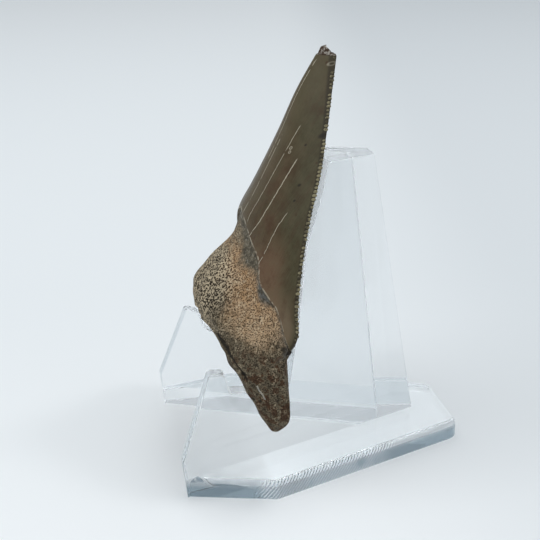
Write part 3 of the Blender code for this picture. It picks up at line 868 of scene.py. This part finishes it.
def root_colour(f, below, crevice, labial):
    """Tan slope, grey-brown bulge and dark mottled lobes, all full of pores, with painted shade on
    the root's margins and in its crevice.
    """
    lingual = 1 - labial
    grain = f.noise(1.5, 5, 0.75)
    patch = f.noise(0.28, 3, 0.55)
    drift = (patch - 0.5) * 6
    side = abs(f.x)
    tan = (below + drift * 0.4 + (grain - 0.5) * 3).within(1.6, 4.4, 2.4)
    tan = tan * (f.z + drift * 0.4 + (grain - 0.5) * 4).within(26, 35, 3.0) * lingual
    low = 1 - (f.z - side * 0.35 + drift * 0.7).above(14.5, 20)
    # Painted shade: the root darker along its lower margins
    painted_shade_margin = (below + drift * 0.5).above(4.4, 6.5) * (1 - (f.z + drift * 0.5).above(28, 33))
    rust = f.noise(0.6, 4, 0.6).above(0.35, 0.68) * 0.8
    # turned: painted shade on the side of the root that faces -y
    turned = (f.y * -1 + drift * 0.3).above(13.5, 18.5) * lingual
    flap = crevice.within(0.7, 1.2, 0.3) * lingual
    stain = f.noise(0.75, 4, 0.6)
    sandy = (patch + (f.z - 30) * 0.04).above(0.4, 0.62)
    root = f.coat(f.blend(sandy, ROOT_GREY, ROOT_SAND),
                  (0.85, painted_shade_margin, ROOT_PAINTED_SHADE),
                  (1, tan, f.blend(rust, ROOT_TAN, ROOT_RUST)),
                  (0.3, tan * (1 - f.z.above(24, 31)), ROOT_PALE),
                  (0.8, turned, ROOT_PAINTED_SHADE),
                  (1, low, LOBE_BROWN),
                  (0.4, grain.above(0.54, 0.72) * (1 - low * 0.3), ROOT_PALE),
                  (0.65, 1 - grain.above(0.32, 0.48), ROOT_DARK),
                  (0.35, flap, BAND_GREY),
                  (0.85, stain.above(0.5, 0.56) * low, STAIN_BROWN),
                  (0.7, (1 - stain.above(0.36, 0.43)) * low, STAIN_AND_SHADE_BLACK))

    # Pores, coarse on the bulge and fine elsewhere, with pale walls between them
    straight, f.place = f.place, f.warped(1.6, 0.28)
    near = f.cells(PORES_COARSE, stretch=(1, 0.8, 1.15))
    fine = f.cells(PORES_FINE)
    f.place = straight
    bulge = (f.z + drift * 0.4).within(24.5, 34, 2) * (1 - (side + drift * 0.8).above(5.5, 14))
    bulge = bulge * below.above(3.0, 5.0)
    coarse = (1 - near.above(0.34, 0.48)) * (bulge * 0.85 + 0.3)
    holes = coarse + (1 - fine.above(0.22, 0.48)) * (0.75 - bulge * 0.35)
    glint = f.noise(1.1, 2).above(0.45, 0.65) * (1 - low * 0.4)
    # The last layer is painted shade: black along the crevice
    root = f.coat(root,
                  (0.75, near.above(0.46, 0.62) * bulge, ROOT_PALE),
                  (0.6, fine.above(0.5, 0.75) * glint, ROOT_PALE),
                  (1, holes.math("MINIMUM", 0.95), PORE_DARK),
                  (0.9, 1 - crevice.above(0.12, 0.38), STAIN_AND_SHADE_BLACK))
    near_side = f.x.above(*NEAR_LOBE)
    for *place, radius in ROOT_HOLES:
        root = f.coat(root, (0.85, spot(f.y, f.z, place, radius) * near_side, STAIN_AND_SHADE_BLACK))
    scar = path_line(f.y, f.z, SCAR, SCAR_HALF_WIDTH) * near_side
    return f.coat(root, (0.65, scar, BAND_LIGHT)), grain - holes


def fossil():
    """Glossy enamel with cracks, a dull dark band at its foot, and porous root."""
    f = Finish("fossil enamel and root")
    below, labial, bead, edge = (f.measure(name) for name in (
        "below_neck", "labial", "bead", "edge_distance"))
    lingual = 1 - labial
    ragged = (f.noise(0.9, 4, 0.65) - 0.5) * 0.7
    enamel, streak, cracks = enamel_colour(f, edge, labial)
    root, rough_root = root_colour(f, below, f.measure("crevice_distance"), labial)

    # Dull band between the enamel and the root, and the gap under the blade's shoulder painted
    # black as shade
    mottle = f.noise(1.3, 4, 0.7)
    fleck = f.noise(2.6, 3, 0.7).above(0.56, 0.66)
    blue = abs(f.x).above(10.5, 12) * mottle.above(0.4, 0.5)
    near_ridge = 1 - abs(f.x).above(2, 4)
    shoulder = f.x.above(*NEAR_LOBE) * lingual
    gap = (below + ragged * 0.4).within(0.05, 0.45, 0.15) * shoulder
    band = f.coat(f.blend(mottle.above(0.35, 0.65), BAND_DARK, BAND_GREY),
                  (0.6, blue, BAND_BLUE),
                  (1, fleck * (near_ridge * 0.6 + 0.3), BAND_LIGHT),
                  (1, gap, STAIN_AND_SHADE_BLACK))

    # All of it together, with the enamel's pale lip, the beads pale partly from wear and partly as
    # painted highlight, and the stub on the tip
    is_band = (below + ragged).above(0.0, 0.12)
    band_foot = f.measure("below_band") + (mottle - 0.5) * 2.4
    is_root = band_foot.above(-0.8, 0.7)
    lip = (below + ragged * 0.3).within(-0.2, -0.06, 0.07) * lingual * mottle.above(0.4, 0.55)
    worn_and_highlight = f.noise(1.2, 2, 0.5).above(0.36, 0.6)
    core = f.z.above(TIP, TIP + 0.15)
    stub = f.blend(f.noise(1.4, 3, 0.6).above(0.45, 0.6), CORE_BROWN, CORE_GREY)
    colour = f.coat(enamel,
                    (1, is_band, band),
                    (1, is_root, root),
                    (0.55, lip, PALE_MARK_AND_HIGHLIGHT),
                    (1, bead * (worn_and_highlight * 0.7 + 0.1), BEAD_PALE_AND_HIGHLIGHT),
                    (1, core, stub))
    roughness = (streak * STREAK_ROUGHNESS + ENAMEL_ROUGHNESS) * (1 - is_band)
    roughness = roughness + is_band * BAND_ROUGHNESS + is_root * ROOT_ROUGHNESS
    roughness = roughness * (1 - core) + core * CORE_ROUGHNESS
    height = (streak * 0.25 - cracks * 0.5) * (1 - is_band) - gap
    height = height + rough_root * is_root + mottle * is_band * 0.4
    f.link(Base_Color=colour, Roughness=roughness, IOR=ENAMEL_IOR)
    f.link(Normal=f.bump(height, FOSSIL_RELIEF))
    return f.material


def clear_plastic():
    """Polished clear moulding with a faint blue-grey tint and fine tool marks on its foot, painted
    shade on its near wall and rims, a painted highlight on the foot's rim and a painted glow for
    light led inside it.
    """
    f = Finish("clear moulded plastic")
    normal = f.node("ShaderNodeNewGeometry").outputs["Normal"]
    tilt = f.node("ShaderNodeSeparateXYZ", None, {0: normal}).outputs
    upward, forward = Value(f, tilt[2]), Value(f, tilt[1]) * -1

    def outside(across, way, out):
        """1 beyond a line that is that far out along its way."""
        return (across * way[0] + f.y * way[1]).above(*out)

    # The foot's wall on the near side, and the slanting marks that the mould's cutter left on it
    side = outside(f.x, FOOT_SIDE_WAY, FOOT_SIDE_OUT)
    front = outside(f.x, FOOT_FRONT_WAY, FOOT_FRONT_OUT)
    wall = (1 - abs(upward).above(0.75, 0.95)) * (1 - f.z.above(FOOT_THICK - 0.1, FOOT_THICK))
    wall = wall * side.math("MAXIMUM", front)
    low_wall = 1 - f.z.above(1.6, 3.0)
    marked = f.noise(0.3, 2).above(0.2, 0.42) * (1 - f.y.above(4, 14))
    stripes = ((f.y - f.z * MARK_SLANT) * (2 * math.pi / MARK_SPACING)).math("SINE")
    stripes = stripes * marked * wall * side

    # The foot's rounded rim, and the wings' narrow front rims
    rim = upward.within(0.3, 0.85, 0.12) * f.z.within(2.0, 3.3, 0.1)
    rim = rim * outside(abs(f.x), FOOT_SIDE_WAY, FOOT_SIDE_OUT)
    rough_rim = rim * marked * side
    front_rim = forward.above(0.5, 0.8) * f.z.within(3.5, 19, 0.3)
    # The tint carries painted shade: dark on the near foot's wall and between the tool marks on its
    # rim, grey on the wings' front rims
    tint = f.coat(PLASTIC_TINT,
                  (1, wall * (low_wall * 0.5 + 0.45), PAINTED_WALL_SHADE),
                  (0.9, stripes.above(0.1, 0.6), (1, 1, 1, 1)),
                  (0.7, rough_rim * (1 - stripes.above(-0.3, 0.1)), PAINTED_WALL_SHADE),
                  (0.7, front_rim, PAINTED_RIM_SHADE))
    height = f.noise(0.12, 2, 0.5) + stripes * MARK_DEPTH
    f.link(Base_Color=tint, Roughness=front_rim * RIM_ROUGHNESS + PLASTIC_ROUGHNESS)
    f.link(Transmission_Weight=PLASTIC_CLARITY, IOR=PLASTIC_IOR)
    f.link(Normal=f.bump(height, PLASTIC_RELIEF))

    # Painted highlight along the foot's rim, strongest on the tool-mark stripes: a white matt
    # shader mixed in
    rim_highlight_share = rim * 0.25 + rough_rim * (stripes.above(-0.3, 0.3) * 0.95 - 0.25)
    surface = f.mixed(rim_highlight_share, f.shader.outputs[0], f.plain("ShaderNodeBsdfDiffuse", PAINTED_RIM_HIGHLIGHT))
    # Light passes through the plastic, so its shadow is pale
    path = f.node("ShaderNodeLightPath").outputs
    clear = f.plain("ShaderNodeBsdfTransparent", SHADOW_TINT)
    surface = f.mixed(path["Is Shadow Ray"], surface, clear)
    # Painted glow: a ray that has bounced many times inside a plate ends in a pale emission, or in
    # a dark one as painted shade on the near foot wall
    high, low = (f.plain("ShaderNodeEmission", colour) for colour in (PAINTED_GLOW, PAINTED_SHADE_GLOW))
    painted_glow_ray = Value(f, path["Ray Depth"]).math("GREATER_THAN", PAINTED_GLOW_DEPTH)
    surface = f.mixed(painted_glow_ray, surface, f.mixed(wall, high, low))
    f.tree.links.new(surface, f.tree.nodes["Material Output"].inputs["Surface"])
    return f.material


def backdrop():
    """Matt pale studio floor with painted shade: a little darker away from the camera's side and on
    the right.
    """
    f = Finish("pale floor")
    away = f.x * -1
    colour = f.coat(FLOOR_NEAR,
                    (1, away.above(-60, 90), FLOOR_MIDDLE_PAINTED_SHADE),
                    (1, away.above(250, 800), FLOOR_FAR_PAINTED_SHADE),
                    (0.5, (f.y + f.x * 0.18).above(0, 60), FLOOR_RIGHT_PAINTED_SHADE))
    f.link(Base_Color=colour, Roughness=0.9)
    return f.material


def edge_path():
    """Both cutting edges as lines of points, with the way along and into the blade."""
    bm = bmesh.new()
    along_layer = bm.verts.layers.float_vector.new("along")
    inward_layer = bm.verts.layers.float_vector.new("inward")
    size_layer = bm.verts.layers.float.new("size")
    heights = np.linspace(EDGE_PATH_TOP, EDGE_PATH_FOOT, EDGE_PATH_POINTS)
    for side in (-1, 1):
        edge = np.stack([side * (curve(HALF_WIDTH, heights) - chip_depth(side, heights)),
                         curve(EDGE_Y, heights), heights], axis=1)
        along = np.gradient(edge, axis=0)
        along /= np.linalg.norm(along, axis=1, keepdims=True)
        near = np.array([side * EDGE_LOOK])
        previous = None
        for point, tangent, z in zip(edge, along, heights):
            x, front, back = blade(near, z)
            into = mix(np.array([x[0], front[0], z]), np.array([x[0], back[0], z]), LABIAL_SHARE)
            into -= (side * curve(HALF_WIDTH, z), curve(EDGE_Y, z), z)
            into -= tangent * (into @ tangent)
            into /= np.linalg.norm(into)
            place = point + into * (BEAD_REACH - SERRATION_HEIGHT) + (0, CORNER_Y, 0)
            vert = bm.verts.new(place * MM)
            vert[along_layer] = tangent
            vert[inward_layer] = into
            fade = ramp(SHOULDER + BEAD_FADE_START, SHOULDER + SERRATION_FADE, z)
            lost = min(1.0, BEAD_LOST_TO_CHIP * float(chip_depth(side, z)))
            vert[size_layer] = fade * (1 - lost)
            if previous:
                bm.edges.new((previous, vert))
            previous = vert
    mesh = bpy.data.meshes.new("edge path")
    bm.to_mesh(mesh)
    bm.free()
    return new_object("edge_path", mesh)


def serration_tree():
    """Geometry Nodes: rounded beads set along both cutting edges of the blade."""
    tree = bpy.data.node_groups.new("serrated edges", "GeometryNodeTree")
    for name, kind in (("Blade", "Geometry"), ("Edge path", "Object"), ("Pitch", "Float"),
                       ("Bead size", "Vector"), ("Unevenness", "Float"), ("Seed", "Int"),
                       ("Finish", "Material")):
        tree.interface.new_socket(name, in_out="INPUT", socket_type=f"NodeSocket{kind}")
    tree.interface.new_socket("Tooth", in_out="OUTPUT", socket_type="NodeSocketGeometry")

    def add(kind, settings=None, inputs=None):
        return add_node(tree, kind, settings, inputs).outputs

    def stored(name, kind):
        return add("GeometryNodeInputNamedAttribute", {"data_type": kind}, {"Name": name})[0]

    given = add("NodeGroupInput")
    path = add("GeometryNodeObjectInfo", None, {"Object": given["Edge path"]})["Geometry"]
    line = add("GeometryNodeMeshToCurve", None, {"Mesh": path})[0]
    spaced = add("GeometryNodeResampleCurve", {"mode": "LENGTH"},
                 {"Curve": line, "Length": given["Pitch"]})[0]
    bead = add("GeometryNodeMeshUVSphere", None,
               {"Segments": BEAD_SEGMENTS, "Rings": BEAD_RINGS, "Radius": 1.0})[0]
    for name, mark in BEAD_MARKS:
        bead = add("GeometryNodeStoreNamedAttribute", {"data_type": "FLOAT", "domain": "POINT"},
                   {"Geometry": bead, "Name": name, "Value": mark})[0]
    turned = add("FunctionNodeAxesToRotation", {"primary_axis": "X", "secondary_axis": "Y"},
                 {"Primary Axis": stored("inward", "FLOAT_VECTOR"),
                  "Secondary Axis": stored("along", "FLOAT_VECTOR")})[0]
    least = add("ShaderNodeMath", {"operation": "SUBTRACT"}, {0: 1.0, 1: given["Unevenness"]})[0]
    uneven = add("FunctionNodeRandomValue", {"data_type": "FLOAT"},
                 {2: least, 3: 1.0, "Seed": given["Seed"]})[1]
    factor = add("ShaderNodeMath", {"operation": "MULTIPLY"},
                 {0: uneven, 1: stored("size", "FLOAT")})[0]
    scale = add("ShaderNodeVectorMath", {"operation": "SCALE"},
                {0: given["Bead size"], "Scale": factor})[0]
    beads = add("GeometryNodeInstanceOnPoints", None,
                {"Points": spaced, "Instance": bead, "Rotation": turned, "Scale": scale})[0]
    joined = add("GeometryNodeJoinGeometry")
    join = joined[0].node
    tree.links.new(beads, join.inputs[0])
    tree.links.new(given["Blade"], join.inputs[0])
    real = add("GeometryNodeRealizeInstances", None, {"Geometry": joined[0]})[0]
    smooth = add("GeometryNodeSetShadeSmooth", None, {"Geometry": real})[0]
    finished = add("GeometryNodeSetMaterial", None,
                   {"Geometry": smooth, "Material": given["Finish"]})[0]
    add("NodeGroupOutput", None, {"Tooth": finished})
    return tree


def serrated(body, material):
    """The tooth with its serrations, as one plain mesh."""
    tree = serration_tree()
    path = edge_path()
    sizes = {"Edge path": path, "Pitch": SERRATION_PITCH * MM,
             "Bead size": Vector((BEAD_REACH, BEAD_HALF_WIDTH, BEAD_HALF_THICK)) * MM,
             "Unevenness": BEAD_UNEVENNESS, "Seed": BEAD_SEED, "Finish": material}
    nodes = body.modifiers.new("serrated edges", "NODES")
    nodes.node_group = tree
    for item in tree.interface.items_tree:
        if item.name in sizes:
            nodes[item.identifier] = sizes[item.name]
    evaluated = body.evaluated_get(bpy.context.evaluated_depsgraph_get())
    mesh = bpy.data.meshes.new_from_object(evaluated)
    body.modifiers.remove(nodes)
    bare, body.data = body.data, mesh
    bpy.data.meshes.remove(bare)
    bpy.data.objects.remove(path)
    return body


def point_camera():
    """The photo's camera."""
    data = bpy.data.cameras.new("camera")
    data.lens = CAMERA_LENS
    camera = new_object("camera", data)
    place, target = Vector(CAMERA_PLACE), Vector(CAMERA_TARGET)
    forward = (target - place).normalized()
    right = forward.cross(Vector((0, 0, 1))).normalized()
    up = right.cross(forward)
    cos, sin = math.cos(CAMERA_ROLL), math.sin(CAMERA_ROLL)
    right, up = cos * right + sin * up, cos * up - sin * right
    turn = Matrix((right, up, -forward)).transposed().to_4x4()
    camera.matrix_world = Matrix.Translation(place * MM) @ turn
    bpy.context.scene.camera = camera


def soft_light(name, place, size, power):
    """Square studio light, in metres and watts, that faces the object."""
    data = bpy.data.lights.new(name, "AREA")
    data.size = size
    data.energy = power
    light = new_object(name, data)
    turn = (Vector(place) - Vector(LIGHTS_AIM)).to_track_quat("Z", "Y").to_matrix().to_4x4()
    light.matrix_world = Matrix.Translation(place) @ turn


def set_studio():
    """Plain pale floor under soft light, and a pale world."""
    bm = bmesh.new()
    bmesh.ops.create_circle(bm, cap_ends=True, segments=96, radius=FLOOR_RADIUS)
    bmesh.ops.translate(bm, vec=(0, 0, -FLOOR_GAP * MM), verts=bm.verts)
    mesh = bpy.data.meshes.new("floor")
    bm.to_mesh(mesh)
    bm.free()
    floor = new_object("floor", mesh)
    floor.data.materials.append(backdrop())
    for name, place, size, power in LIGHTS:
        soft_light(name, place, size, power)
    world = bpy.data.worlds.new("studio")
    world.use_nodes = True
    sky = world.node_tree.nodes["Background"].inputs
    sky["Color"].default_value = WORLD_COLOUR
    sky["Strength"].default_value = WORLD_STRENGTH
    bpy.context.scene.world = world
    bpy.context.scene.view_settings.view_transform = "Standard"


def dress(piece, node):
    """Tie a finished piece to the body, and hide the solid that it stands for."""
    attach(piece, "root")
    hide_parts(node)


point_camera()
tooth = serrated(build_tooth_body(), fossil())
dress(tooth, "tooth")
stand = build_stand()
stand.data.materials.append(clear_plastic())
dress(stand, "display_stand")
set_studio()
